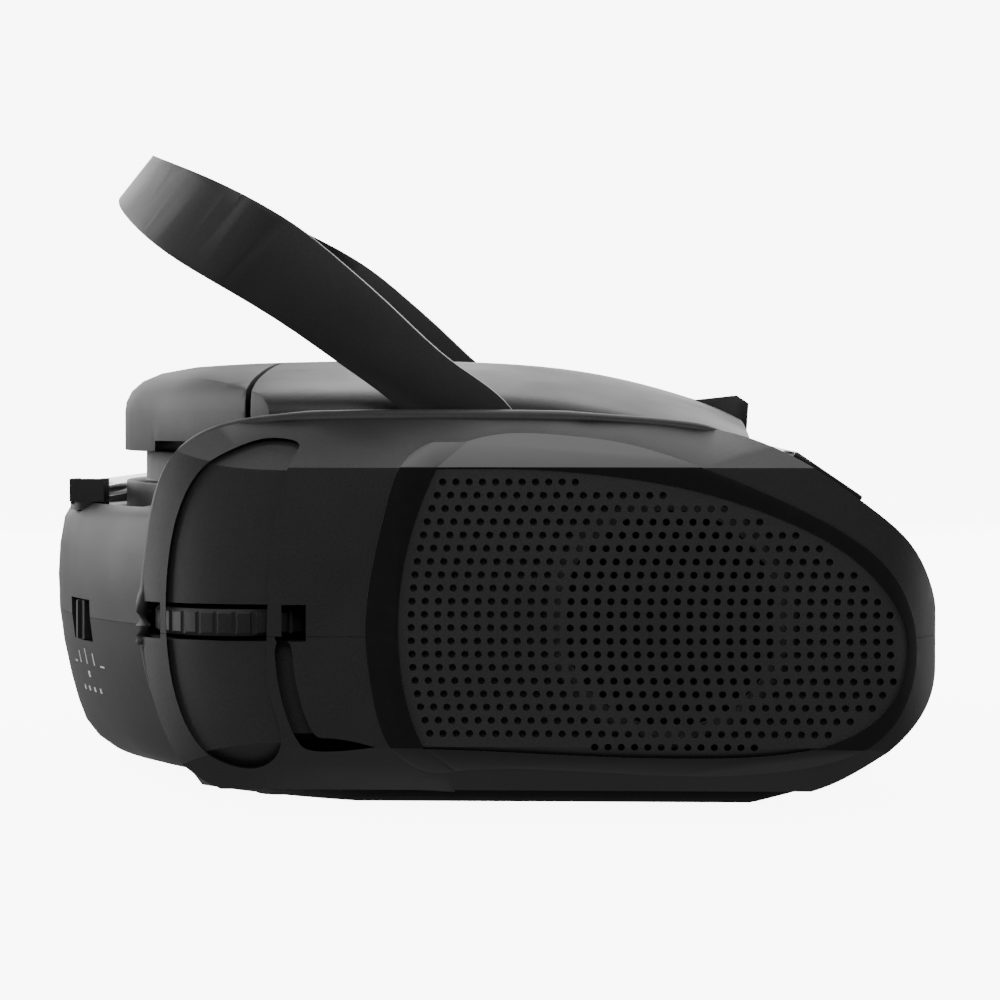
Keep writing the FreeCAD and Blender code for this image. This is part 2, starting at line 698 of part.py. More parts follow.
def build_ends():
    """Glossy surround and crescent, grille, and the loudspeaker behind it, at both ends."""
    grille_area = end_prism("grille_area", [GRILLE_FRONT, GRILLE_BACK])
    surround_area = end_prism("surround_area", [
        TRIM_FRONT, [TRIM_FRONT[-1], GRILLE_FRONT[-1]], list(reversed(GRILLE_FRONT)),
        [GRILLE_FRONT[0], TRIM_FRONT[0]]])
    crescent_area = end_prism("crescent_area", [
        CRESCENT_BACK, [CRESCENT_BACK[-1], TRIM_FRONT[0]], [TRIM_FRONT[0], GRILLE_FRONT[0]],
        list(reversed(GRILLE_BACK)), [GRILLE_FRONT[-1], TRIM_FRONT[-1]]])
    back_form = body_form("trim_back_form", 2.3)
    grille_outer = body_form("grille_outer_form", 0.3)
    grille_inner = body_form("grille_inner_form", 1.7)
    both_ends("speaker_surround", end_skin("left_surround", surround_area, trim_form, back_form))
    both_ends("crescent_trim", end_skin("left_crescent", crescent_area, trim_form, back_form))
    both_ends("grille", end_skin("left_grille", grille_area, grille_outer, grille_inner))

    spot = (-END_X + 14.6, size("speaker_y"), size("speaker_z"))
    r = size("speaker_radius")
    basket = [(r, 0), (r, 1.6), (r - 5, 1.6), (19, 15), (19, 17), (15, 17), (15, 15.5), (17, 14.4),
              (r - 6.5, 0.8), (r - 6.5, 0)]
    both_ends("speaker_basket", turned("left_basket", basket, spot, "X"))
    cone = [(r - 6.8, 0.1), (r - 6.8, 0.7), (r - 9.5, 0.2), (13.5, 11), (9, 11.6), (0, 7.6), (0, 6.8), (8.6, 10.2),
            (13, 9.8), (r - 9.8, -1)]
    both_ends("speaker_cone", turned("left_cone", cone, (spot[0], spot[1], spot[2]), "X"))
    magnet = [(0, 17.2), (22, 17.2), (22, 29), (20, 30.5), (0, 30.5)]
    both_ends("speaker_magnet", turned("left_magnet", magnet, spot, "X"))


# ------------------------------------------------------------ front slope

KEYS = {"upper": ("key_previous", "key_play", "key_next"), "lower": ("key_stop", "key_memory", "key_repeat")}


def build_front():
    """The display lens with its module, and two rows of three keys on one switch board."""
    frame = slope_frame("lens")
    tall = slope_height("lens")
    lens = padded("display_lens", rectangle(2 * SLOPE_HALF, tall), 1.6,
                  frame.multiply(Placement(Vector(0, 0, 0.9), Rotation())), 0.6)
    node("display_lens", lens)
    node("display_module", placed_box("display_module", frame, (-39, -6.4, -9.5), (78, 12.8, 4)))
    for row, names in KEYS.items():
        frame = slope_frame(row)
        tall = slope_height(row) - 0.6
        pitch = 2 * SLOPE_HALF / 3.0
        for i, name in enumerate(names):
            spot = Placement(Vector((i - 1) * pitch, 0, -2.2), Rotation())
            cap = padded(name + "_cap", rectangle(pitch - 0.7, tall), 3.6, frame.multiply(spot), 0.6)
            stem = placed_box(name + "_stem", frame.multiply(spot), (-3, -2, -2.6), (6, 4, 2.7))
            node(name, fuse(name, cap, stem))
    board = [(-110.6, 69.6), (-114.6, 65.6), (-117.4, 60), (-116, 59.4), (-113.4, 64.4), (-109.5, 68.3)]
    node("key_board", prism("key_board", outline("key_board_line", "YZ", polygon(board)), -88, 88))


def rectangle(width, height):
    return [(-width / 2, -height / 2), (width / 2, -height / 2), (width / 2, height / 2), (-width / 2, height / 2)]


# ------------------------------------------------------------ controls

def build_controls():
    """Thumb wheels with their parts inside, and the slide switches on the back."""
    names = {-1: ("volume_wheel", "volume_pot"), 1: ("tuning_wheel", "tuning_capacitor")}
    segments = 30
    for side, (wheel_name, inner_name) in names.items():
        x, y = wheel_centre(side)
        r, t = size("wheel_radius"), size("wheel_thickness")
        low = size("wheel_z") - t / 2
        disc = turned(wheel_name + "_disc", [(2.06, 0), (r - 1, 0), (r, 1), (r, t - 1), (r - 1, t), (2.06, t)],
                      (x, y, low))
        notches = []
        for i in range(segments):
            angle = 2 * math.pi * i / segments
            notch = cylinder("%s_notch_%d" % (wheel_name, i),
                             (x + (r + 0.5) * math.cos(angle), y + (r + 0.5) * math.sin(angle), low - 1), 1.0, t + 2)
            notches.append(notch)
        node(wheel_name, cut(wheel_name, disc, *notches))
        shaft = cylinder(inner_name + "_shaft", (x, y, low - 6), 2.0, t + 6)
        can = box(inner_name + "_can", (x - 8, y - 8, low - 14), (16, 16, 12.5))
        node(inner_name, fuse(inner_name, shaft, can))
    for side, name in ((-1, "function_switch"), (1, "band_switch")):
        frame = switch_frame(side)
        slider = fuse(name, placed_box(name + "_plate", frame, (-6, -5.4, -5.4), (2.4, 10.8, 10.8)),
                      placed_box(name + "_grip", frame, (-3.8, -3.6, -5.4), (3.3, 7.2, 10.8)),
                      placed_box(name + "_ridge", frame, (-0.6, -0.7, -5.4), (1.2, 1.4, 10.8)))
        node(name + "_knob", slider)
        node(name + "_body", placed_box(name + "_body", frame, (-14, -12, -7), (7.6, 24, 14)))


# ------------------------------------------------------------ antenna

def build_antenna():
    """A swivelling base and three telescoping tubes that lie along the rear deck."""
    y, z = size("antenna_y"), size("antenna_z")
    deck = size("deck_floor")
    node("antenna_base", fuse("antenna_base", cylinder("antenna_disc", (-52, y, deck + 0.3), 5.6, 2.4),
                              box("antenna_fork_a", (-56, y - 5, deck + 2), (8, 1.6, 7.4)),
                              box("antenna_fork_b", (-56, y + 3.4, deck + 2), (8, 1.6, 7.4)),
                              box("antenna_fork_end", (-57.6, y - 5, deck + 2.7), (2, 10, 6.7))))
    knuckle = cylinder("antenna_knuckle", (-52, y - 3, z), 2.8, 6, "Y")
    outer = cut("antenna_tube_solid", fuse("antenna_outer_pair", knuckle, cylinder("antenna_outer", (-52, y, z), 2.8, 104, "X")),
                cylinder("antenna_outer_bore", (-46, y, z), 2.1, 110, "X"))
    node("antenna_outer_tube", outer)
    middle = cut("antenna_middle_solid", cylinder("antenna_middle", (-45, y, z), 2.04, 99, "X"),
                 cylinder("antenna_middle_bore", (-44, y, z), 1.4, 110, "X"))
    node("antenna_middle_tube", middle)
    tip = fuse("antenna_tip", cylinder("antenna_rod", (-43, y, z), 1.34, 99, "X"),
               cylinder("antenna_button", (54.6, y, z), 2.8, 4, "X"))
    node("antenna_tip", tip)


# ------------------------------------------------------------ compact disc drive

def build_drive():
    """The disc well, the spindle with its motor, and the laser sled on two rods."""
    y, floor = size("disc_y"), size("well_floor")
    r = size("well_radius")
    well = turned("well_dish", [(12, floor - 2), (r, floor - 2), (r, floor + 13.2), (r - 1.8, floor + 13.2),
                                (r - 1.8, floor), (12, floor)], (0, y, 0))
    slot = box("laser_slot", (14, y - 9, floor - 5), (44, 18, 10))
    flange = cut("well_flange", cylinder("flange_disc", (0, y, size("seat_height") + 0.05), r + 2.6, 1.4),
                 cylinder("flange_hole", (0, y, 90), r - 1.8, 20))
    node("cd_well", cut("cd_well", fuse("well_pair", well, flange), slot))
    hub = [(0, floor + 1.2), (14.5, floor + 1.2), (14.5, floor + 3), (7.4, floor + 3),
           (7, floor + 6.4), (3, floor + 7.2), (0, floor + 7.2)]
    node("spindle_hub", turned("spindle_hub", hub, (0, y, 0)))
    node("spindle_motor", turned("spindle_motor", [(0, 68), (11.6, 68), (11.6, 80), (3, 80), (3, 81), (0, 81)],
                                 (0, y, 0)))
    node("spindle_shaft", cylinder("spindle_shaft", (0, y, 81.1), 1.0, 6.0))
    plate = cut("drive_plate_cut", box("drive_plate", (-34, y - 34, 77.5), (108, 68, 1.6)),
                cylinder("plate_hole", (0, y, 70), 12.4, 20),
                cylinder("gear_hole", (48, y + 28.8, 70), 1.5, 20), box("plate_window", (15, y - 15, 70), (50, 30, 20)))
    node("drive_chassis", plate)
    rods = [cylinder("guide_rod_%d" % side, (13.5, y + side * 17.5, 80.9), 1.5, 54, "X") for side in (-1, 1)]
    node("guide_rods", fuse("guide_rods", *rods))
    sled = cut("sled_cut", box("sled_block", (16, y - 20.5, 77.8 + 1.5), (15, 41, 4.0)),
               *[cylinder("sled_bore_%d" % side, (0, y + side * 17.5, 80.9), 1.55, 80, "X") for side in (-1, 1)])
    lens = cylinder("laser_lens", (23, y, 83), 3.2, 1.4)
    node("laser_sled", fuse("laser_sled", sled, lens))
    gear = turned("sled_gear_disc", [(1.06, 0), (8, 0), (8, 2), (1.06, 2)], (48, y + 28.8, 79.4))
    node("sled_gear", gear)
    node("sled_motor", turned("sled_motor", [(0, 64), (8, 64), (8, 77.3), (1, 77.3), (1, 81.4), (0, 81.4)],
                              (48, y + 28.8, 0)))


# ------------------------------------------------------------ inside and below

def build_inside():
    """Boards, transformer, sockets, battery bay and feet."""
    node("main_board", box("main_board", (-78, -60, 22), (156, 84, 1.6)))
    core = box("transformer_core", (34, 47, 12), (44, 30, 34))
    winding = box("transformer_winding", (29, 52, 18), (54, 20, 22))
    node("transformer", fuse("transformer", core, winding))
    inlet = cut("inlet_cut", box("inlet_block", (24.6, 100, 18.6), (20.8, 20, 12.8)),
                box("inlet_mouth", (27.5, 108, 21.5), (15, 20, 7)))
    node("mains_inlet", inlet)
    node("aux_jack", cut("aux_jack", jack_piece("jack_body", 4.4, -13, 12), jack_piece("jack_bore", 1.8, -12, 30)))
    bay = cut("battery_bay", box("battery_block", (-64.4, -32.4, 4.5), (128.8, 76.8, 17)),
              box("battery_space", (-62.2, -30.2, 0), (124.4, 72.4, 19.5)))
    node("battery_bay", bay)
    door = box("battery_door", (-61.6, -29.6, 2.3), (123.2, 71.2, 2.0))
    node("battery_door", door)
    contacts = []
    for i in range(4):
        contacts.append(turned("contact_%d" % i, [(0, 0), (4.5, 0), (2, 5), (0, 5)], (-62, -20 + 17 * i, 12), "X"))
    node("battery_springs", fuse("battery_springs", *contacts))
    feet = [cylinder("foot_%d_%d" % (x, y), (x, y, 0), 7, 2.0) for x in (-95, 95) for y in (-66, 50)]
    node("rubber_feet", fuse("rubber_feet", *feet))


build_case()
build_dome()
build_handle()
build_ends()
build_front()
build_controls()
build_antenna()
build_drive()
build_inside()

doc.recompute()
for item in doc.Objects:
    if "Invalid" in item.State or "Error" in item.State:
        raise RuntimeError("%s did not build: %s" % (item.Name, item.State))
os.makedirs("parts", exist_ok=True)
for item in nodes:
    shape = item.Shape
    if shape.isNull() or not shape.isValid() or not shape.Solids:
        raise RuntimeError("%s has no valid shape" % item.Label)
    shape.exportStep(os.path.join("parts", item.Label + ".step"))
    print("%-22s solids %d  volume %.0f" % (item.Label, len(shape.Solids), shape.Volume))
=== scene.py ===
"""Looks for the compact CD and radio boombox, built around its CAD frame."""
import json
import math

import bmesh
import bpy
from mathutils import Matrix, Vector
from mathutils.bvhtree import BVHTree


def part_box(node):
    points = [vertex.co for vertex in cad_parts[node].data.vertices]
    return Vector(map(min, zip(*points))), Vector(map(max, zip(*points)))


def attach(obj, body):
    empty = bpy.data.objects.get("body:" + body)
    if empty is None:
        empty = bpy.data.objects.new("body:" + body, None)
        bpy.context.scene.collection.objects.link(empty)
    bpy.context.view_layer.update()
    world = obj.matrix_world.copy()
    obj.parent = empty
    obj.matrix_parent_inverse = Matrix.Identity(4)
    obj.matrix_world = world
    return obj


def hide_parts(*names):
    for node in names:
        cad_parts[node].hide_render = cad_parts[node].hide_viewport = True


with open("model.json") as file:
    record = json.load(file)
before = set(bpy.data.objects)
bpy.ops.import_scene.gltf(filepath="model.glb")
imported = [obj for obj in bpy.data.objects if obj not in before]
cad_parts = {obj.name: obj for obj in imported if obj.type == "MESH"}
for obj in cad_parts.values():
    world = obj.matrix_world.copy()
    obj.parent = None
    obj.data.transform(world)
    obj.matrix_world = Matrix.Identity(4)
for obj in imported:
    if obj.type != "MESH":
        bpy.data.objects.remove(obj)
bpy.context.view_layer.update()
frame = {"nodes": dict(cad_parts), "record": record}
nodes = frame["nodes"]
record = frame["record"]
MM = 0.001
# The holes in the loudspeaker grilles, and the room that they keep to a grille's edge.
HOLE_PITCH = 3.44 * MM
HOLE_RADIUS = 0.95 * MM
HOLE_ROWS = 21
HOLE_TOP_ROW = 87.3 * MM
HOLE_REAR_GAP = 3.3 * MM
HOLE_MARGIN = 2.5 * MM
# The case's round back is turned about this place on the Y axis.
BACK_CENTRE = -27 * MM


# ------------------------------------------------------------- materials

def make_material(name, colour, rough, grain=900.0, depth=0.06, drift=0.25, metal=0.0, spec=0.5,
                  coat=0.0, coat_rough=0.05, rough_drift=0.08, brushed=None):
    """A surface with fine moulded grain, slow tone drift and uneven gloss."""
    mat = bpy.data.materials.new(name)
    mat.use_nodes = True
    tree = mat.node_tree
    shader = tree.nodes["Principled BSDF"]
    shader.inputs["Metallic"].default_value = metal
    shader.inputs["Specular IOR Level"].default_value = spec
    shader.inputs["Coat Weight"].default_value = coat
    shader.inputs["Coat Roughness"].default_value = coat_rough
    place = tree.nodes.new("ShaderNodeTexCoord")
    stretch = tree.nodes.new("ShaderNodeMapping")
    stretch.inputs["Scale"].default_value = brushed or (1, 1, 1)
    tree.links.new(place.outputs["Object"], stretch.inputs["Vector"])

    def noise(scale, detail):
        node = tree.nodes.new("ShaderNodeTexNoise")
        node.inputs["Scale"].default_value = scale
        node.inputs["Detail"].default_value = detail
        tree.links.new(stretch.outputs["Vector"], node.inputs["Vector"])
        return node.outputs["Fac"]

    def span(source, low, high):
        node = tree.nodes.new("ShaderNodeMapRange")
        node.inputs["From Min"].default_value = 0.3
        node.inputs["From Max"].default_value = 0.7
        node.inputs["To Min"].default_value = low
        node.inputs["To Max"].default_value = high
        tree.links.new(source, node.inputs["Value"])
        return node.outputs["Result"]

    slow, fine = noise(24.0, 3.0), noise(grain, 2.0)
    mix = tree.nodes.new("ShaderNodeMix")
    mix.data_type = "RGBA"
    mix.inputs["A"].default_value = [c * (1 - drift) for c in colour] + [1]
    mix.inputs["B"].default_value = [c * (1 + drift) for c in colour] + [1]
    blend = tree.nodes.new("ShaderNodeMath")
    blend.operation = "MULTIPLY_ADD"
    blend.inputs[1].default_value = 0.5
    tree.links.new(span(slow, 0.0, 0.5), blend.inputs[0])
    tree.links.new(span(fine, 0.25, 0.75), blend.inputs[2])
    tree.links.new(blend.outputs[0], mix.inputs["Factor"])
    tree.links.new(mix.outputs["Result"], shader.inputs["Base Color"])
    uneven = span(slow, max(rough - rough_drift, 0.02), rough + rough_drift)
    tree.links.new(uneven, shader.inputs["Roughness"])
    bump = tree.nodes.new("ShaderNodeBump")
    bump.inputs["Strength"].default_value = depth
    bump.inputs["Distance"].default_value = 0.0002
    tree.links.new(fine, bump.inputs["Height"])
    tree.links.new(bump.outputs["Normal"], shader.inputs["Normal"])
    return mat


def board_material(name, colour):
    """A circuit board with copper tracks showing under its lacquer."""
    mat = make_material(name, colour, 0.45, grain=700.0)
    tree = mat.node_tree
    shader = tree.nodes["Principled BSDF"]
    tracks = tree.nodes.new("ShaderNodeTexBrick")
    tracks.inputs["Scale"].default_value = 220.0
    tracks.inputs["Color1"].default_value = [*colour, 1]
    tracks.inputs["Color2"].default_value = [c * 0.6 for c in colour] + [1]
    tracks.inputs["Mortar"].default_value = (0.32, 0.2, 0.07, 1)
    tracks.inputs["Mortar Size"].default_value = 0.09
    place = tree.nodes.new("ShaderNodeTexCoord")
    tree.links.new(place.outputs["Object"], tracks.inputs["Vector"])
    tree.links.new(tracks.outputs["Color"], shader.inputs["Base Color"])
    return mat


FINISHES = {
    "matte_black_abs": dict(rough=0.5, grain=1400.0, depth=0.16, spec=0.42),
    "handle_abs": dict(rough=0.44, grain=1500.0, depth=0.08, spec=0.4),
    "gloss_black": dict(rough=0.18, grain=300.0, depth=0.01, rough_drift=0.03, spec=0.3, coat=0.2),
    "grille_steel": dict(rough=0.55, grain=2200.0, depth=0.2, spec=0.4),
    "display_window": dict(rough=0.1, grain=300.0, depth=0.01, rough_drift=0.02, coat=0.5),
    "key_plastic": dict(rough=0.4, grain=1500.0, depth=0.06),
    "control_plastic": dict(rough=0.38, grain=1500.0, depth=0.06),
    "chrome": dict(rough=0.12, grain=500.0, depth=0.01, metal=1.0, drift=0.04, brushed=(1, 1, 1)),
    "steel": dict(rough=0.32, grain=700.0, depth=0.05, metal=1.0, drift=0.12, brushed=(0.15, 1, 1)),
    "paper_cone": dict(rough=0.85, grain=900.0, depth=0.5),
    "component_plastic": dict(rough=0.5, grain=900.0),
    "rubber": dict(rough=0.85, grain=800.0, depth=0.3, spec=0.25),
    "copper_winding": dict(rough=0.35, grain=1200.0, depth=0.3, metal=1.0, drift=0.2, brushed=(1, 1, 6)),
}
SLOT_COLOURS = {m["slot"]: m["base_color"] for m in record["materials"]}
slot_of = {p["node"]: p["material_slot"] for p in record["subparts"]}
materials = {}
for slot_name, colour in SLOT_COLOURS.items():
    if slot_name == "circuit_board":
        materials[slot_name] = board_material(slot_name, colour)
    else:
        materials[slot_name] = make_material(slot_name, colour, **FINISHES.get(slot_name, dict(rough=0.5)))
ink = make_material("printed_ink", (0.55, 0.55, 0.56), 0.6, grain=2000.0, depth=0.05)


def dress(obj, mat):
    if obj.material_slots:
        for place in obj.material_slots:
            place.material = mat
    else:
        obj.data.materials.append(mat)


for node_name, obj in nodes.items():
    dress(obj, materials[slot_of[node_name]])

body_of_node = {n: b for b, members in record["behaviour"]["bodies"].items() for n in members}


# ------------------------------------------------------------- piece helpers

def add_piece(name, mesh, mat, body):
    piece = bpy.data.objects.new(name, mesh)
    bpy.context.scene.collection.objects.link(piece)
    piece.data.materials.clear()
    piece.data.materials.append(mat)
    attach(piece, body)
    return piece


def apply_modifiers(piece):
    """Turns the modified shape into the piece's own mesh."""
    shape = bpy.data.meshes.new_from_object(piece.evaluated_get(bpy.context.evaluated_depsgraph_get()))
    piece.modifiers.clear()
    old = piece.data
    piece.data = shape
    bpy.data.meshes.remove(old)
    return piece


def clean_copy(node_name, merge_flats=True):
    """The node's shape as one welded mesh with its own normals cleared."""
    mesh = nodes[node_name].data.copy()
    for layer in ("custom_normal", "sharp_edge", "sharp_face"):
        if layer in mesh.attributes:
            mesh.attributes.remove(mesh.attributes[layer])
    work = bmesh.new()
    work.from_mesh(mesh)
    bmesh.ops.remove_doubles(work, verts=work.verts, dist=2e-6)
    if merge_flats:
        bmesh.ops.dissolve_limit(work, angle_limit=math.radians(0.4), verts=work.verts, edges=work.edges)
    work.to_mesh(mesh)
    work.free()
    return mesh


def softened(node_name, width, angle=34.0, segments=3):
    """Stands for a CAD node with its sharp edges rounded."""
    slot_name = slot_of[node_name]
    piece = add_piece(node_name + "_soft", clean_copy(node_name, bool(width)), materials[slot_name],
                      body_of_node[node_name])
    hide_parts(node_name)
    if not width:
        return piece
    bevel = piece.modifiers.new("round", "BEVEL")
    bevel.width = width
    bevel.segments = segments
    bevel.limit_method = "ANGLE"
    bevel.angle_limit = math.radians(angle)
    bevel.use_clamp_overlap = True
    bevel.harden_normals = False
    bpy.context.view_layer.update()
    apply_modifiers(piece)
    piece.data.shade_smooth()
    piece.data.set_sharp_from_angle(angle=math.radians(32))
    return piece


def tree_of(node_name):
    mesh = nodes[node_name].data
    corners = [v.co for v in mesh.vertices]
    return BVHTree.FromPolygons(corners, [tuple(p.vertices) for p in mesh.polygons])


# ------------------------------------------------------------- loudspeaker grilles

def grille_holes(node_name, side):
    """Hole places in rows that begin a set distance inside the curved rear edge."""
    shape = tree_of(node_name)
    low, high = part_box(node_name)

    def on_sheet(y, z):
        hit = shape.ray_cast(Vector((side * 0.2, y, z)), Vector((-side, 0, 0)))
        return hit[0] is not None

    def clear(y, z, margin):
        for k in range(8):
            turn = math.radians(45 * k)
            if not on_sheet(y + margin * math.cos(turn), z + margin * math.sin(turn)):
                return False
        return True

    places = []
    for row in range(HOLE_ROWS):
        z = HOLE_TOP_ROW - row * HOLE_PITCH
        edge = high.y
        while edge > low.y and not on_sheet(edge, z):
            edge -= 0.0002
        y = edge - HOLE_REAR_GAP
        while y > low.y:
            if clear(y, z, HOLE_MARGIN):
                places.append((y, z))
            y -= HOLE_PITCH
    return places


def drilled_grille(node_name, side):
    """The grille's sheet with its round holes cut through."""
    sheet = add_piece(node_name + "_perforated", clean_copy(node_name), materials["grille_steel"],
                      body_of_node[node_name])
    drill = bmesh.new()
    for y, z in grille_holes(node_name, side):
        hole = bmesh.ops.create_cone(drill, cap_ends=True, segments=14, radius1=HOLE_RADIUS,
                                     radius2=HOLE_RADIUS, depth=0.06)
        along_x = Matrix.Rotation(math.pi / 2, 3, "Y")
        bmesh.ops.rotate(drill, verts=hole["verts"], cent=(0, 0, 0), matrix=along_x)
        bmesh.ops.translate(drill, verts=hole["verts"], vec=(side * 0.13, y, z))
    mesh = bpy.data.meshes.new("drill")
    drill.to_mesh(mesh)
    drill.free()
    cutter = bpy.data.objects.new("drill", mesh)
    bpy.context.scene.collection.objects.link(cutter)
    cut = sheet.modifiers.new("holes", "BOOLEAN")
    cut.operation = "DIFFERENCE"
    cut.solver = "EXACT"
    cut.object = cutter
    bpy.context.view_layer.update()
    apply_modifiers(sheet)
    bpy.data.objects.remove(cutter)
    sheet.data.shade_smooth()
    sheet.data.set_sharp_from_angle(angle=math.radians(30))
    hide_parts(node_name)


drilled_grille("left_grille", -1)
drilled_grille("right_grille", 1)


# ------------------------------------------------------------- soft edges

soft = {}
for name, width in (("handle", 2.4), ("rear_top_cover", 1.6), ("cd_lid", 1.2), ("base_skirt", 0.8),
                    ("rear_neck", 0.6), ("left_speaker_surround", 0.5), ("right_speaker_surround", 0.5),
                    ("left_crescent_trim", 0.6), ("right_crescent_trim", 0.6), ("display_lens", 0.4),
                    ("upper_housing", 0), ("lower_housing", 0)):
    soft[name] = softened(name, width * MM)


# ------------------------------------------------------------- beads and grooves on the end caps

def smooth_path(points, count):
    """Evenly spaced points on a Catmull-Rom curve through the given ones."""
    dense = []
    for i in range(len(points) - 1):
        before = points[max(i - 1, 0)]
        a, b = points[i], points[i + 1]
        after = points[min(i + 2, len(points) - 1)]
        for k in range(24):
            t = k / 24
            dense.append(0.5 * ((2 * a) + (b - before) * t + (2 * before - 5 * a + 4 * b - after) * t ** 2
                                + (3 * a - before - 3 * b + after) * t ** 3))
    dense.append(points[-1])
    lengths = [0.0]
    for a, b in zip(dense, dense[1:]):
        lengths.append(lengths[-1] + (b - a).length)
    even, j = [], 0
    for k in range(count):
        want = lengths[-1] * k / (count - 1)
        while j < len(dense) - 2 and lengths[j + 1] < want:
            j += 1
        part = (want - lengths[j]) / max(lengths[j + 1] - lengths[j], 1e-9)
        even.append(dense[j].lerp(dense[j + 1], min(part, 1.0)))
    return even


def on_case(points, depth, shapes):
    """Points moved onto the case, then inward along its surface by the depth."""
    placed, facing = [], []
    for point in points:
        best = min((shape.find_nearest(point) for shape in shapes), key=lambda hit: hit[3])
        placed.append(best[0] - best[1] * depth)
        facing.append(best[1])
    for _ in range(3):
        inner = [(a + 2 * b + c) / 4 for a, b, c in zip(placed, placed[1:], placed[2:])]
        placed = [placed[0], *inner, placed[-1]]
        turned = [(a + b + c).normalized() for a, b, c in zip(facing, facing[1:], facing[2:])]
        facing = [facing[0], *turned, facing[-1]]
    return placed, facing


def sweep(path, facing, wide, high, ends=0.12, sides=14):
    """A rounded strip along a path; it thins out to nothing near both of its ends."""
    work = bmesh.new()
    rings = []
    last = len(path) - 1
    for i, (point, out) in enumerate(zip(path, facing)):
        along = (path[min(i + 1, last)] - path[max(i - 1, 0)]).normalized()
        across = along.cross(out).normalized()
        out = across.cross(along).normalized()
        reach = min(i, last - i) / max(last * ends, 1)
        taper = max(math.sin(min(reach, 1.0) * math.pi / 2), 0.04)
        rings.append([work.verts.new(point + across * (wide * taper * math.cos(2 * math.pi * k / sides))
                                     + out * (high * taper * math.sin(2 * math.pi * k / sides)))
                      for k in range(sides)])
    for a, b in zip(rings, rings[1:]):
        for k in range(sides):
            work.faces.new((a[k], a[(k + 1) % sides], b[(k + 1) % sides], b[k]))
    work.faces.new(list(reversed(rings[0])))
    work.faces.new(rings[-1])
    bmesh.ops.recalc_face_normals(work, faces=work.faces)
    mesh = bpy.data.meshes.new("strip")
    work.to_mesh(mesh)
    work.free()
    mesh.shade_smooth()
    return mesh


# The bead round the rear edge of an end cap: how far out, how far back and how high, in millimetres.
RIM_LINE = [(126, 74, 14), (127, 80, 26), (128, 83, 40), (128, 84, 54), (128, 82.5, 70), (129, 79, 83),
            (129, 75, 91), (128, 70, 96.5), (127, 62, 100.8), (126, 50, 103.2), (125.6, 25, 104.8),
            (125.6, -15, 104.8), (126.5, -50, 102.8), (131, -74, 99)]
# The groove on an end face: how far back and how high.
GROOVE_LINE = [(20, 14.6), (30, 15.6), (37.5, 20), (41.5, 29), (43.6, 40), (43.8, 54), (42.3, 68), (40, 82),
               (36, 92.4), (29, 97), (20, 99.4)]
case_shapes = [tree_of("upper_housing"), tree_of("lower_housing")]


def end_line(side, line, count, x=0.15):
    points = [Vector((side * x, y * MM, z * MM)) for y, z in line]
    return smooth_path(points, count)


def cut_groove(housing, side):
    """A rounded groove down the end cap, between the wheel panel and the glossy trim."""
    path, facing = on_case(end_line(side, GROOVE_LINE, 90), 0.0, case_shapes)
    cutter = bpy.data.objects.new("groove_cutter", sweep(path, facing, 2.3 * MM, 1.7 * MM))
    bpy.context.scene.collection.objects.link(cutter)
    cut = housing.modifiers.new("groove", "BOOLEAN")
    cut.operation = "DIFFERENCE"
    cut.solver = "FAST"
    cut.object = cutter
    bpy.context.view_layer.update()
    apply_modifiers(housing)
    bpy.data.objects.remove(cutter)
    housing.data.shade_smooth()
    housing.data.set_sharp_from_angle(angle=math.radians(38))


for side, tag in ((-1, "left"), (1, "right")):
    for housing in ("upper_housing", "lower_housing"):
        cut_groove(soft[housing], side)
    start = [Vector((side * x * MM, y * MM, z * MM)) for x, y, z in RIM_LINE]
    path, facing = on_case(smooth_path(start, 160), 0.9 * MM, case_shapes)
    bead = sweep(path, facing, 2.4 * MM, 2.0 * MM, 0.05)
    add_piece(tag + "_rim_bead", bead, materials["matte_black_abs"], "root")


# ------------------------------------------------------------- printed marks

# Angle round the back, lowest and highest point, and half the width, in degrees and millimetres.
TICKS = [(24.0, 33.0, 36.5, 0.35), (26.5, 33.0, 37.5, 0.35), (29.0, 33.0, 36.5, 0.35)]
DASHES = [(21.6, 32.8, 33.3, 1.5), (31.4, 32.8, 33.3, 1.5), (26.5, 29.2, 31.0, 0.9)]
DOTS = [(angle, 25.0, 26.4, 0.7) for angle in (23.4, 25.4, 27.4, 29.4)]
MARKS = TICKS + DASHES + DOTS


def printed_marks(side, name):
    """Plain ticks and dots under a slide switch; they stand for its legend."""
    housing = case_shapes[1]
    work = bmesh.new()
    for angle, low, high, wide in MARKS:
        turn = math.radians(angle)
        aim = Vector((side * math.sin(turn), math.cos(turn), 0))
        across = Vector((aim.y, -aim.x, 0))
        corners = []
        for u, z in ((-wide, low), (wide, low), (wide, high), (-wide, high)):
            start = Vector((0, BACK_CENTRE, z * MM)) + aim * 0.2 + across * u * MM
            hit, normal, _, _ = housing.ray_cast(start, -aim)
            corners.append((hit, normal))
        outer = [work.verts.new(hit + normal * 0.06 * MM) for hit, normal in corners]
        inner = [work.verts.new(hit - normal * 0.05 * MM) for hit, normal in corners]
        work.faces.new(outer)
        work.faces.new(list(reversed(inner)))
        for k in range(4):
            work.faces.new((inner[k], inner[(k + 1) % 4], outer[(k + 1) % 4], outer[k]))
    bmesh.ops.recalc_face_normals(work, faces=work.faces)
    mesh = bpy.data.meshes.new(name)
    work.to_mesh(mesh)
    work.free()
    add_piece(name, mesh, ink, "root")


printed_marks(-1, "function_marks")
printed_marks(1, "band_marks")


# ------------------------------------------------------------- surroundings

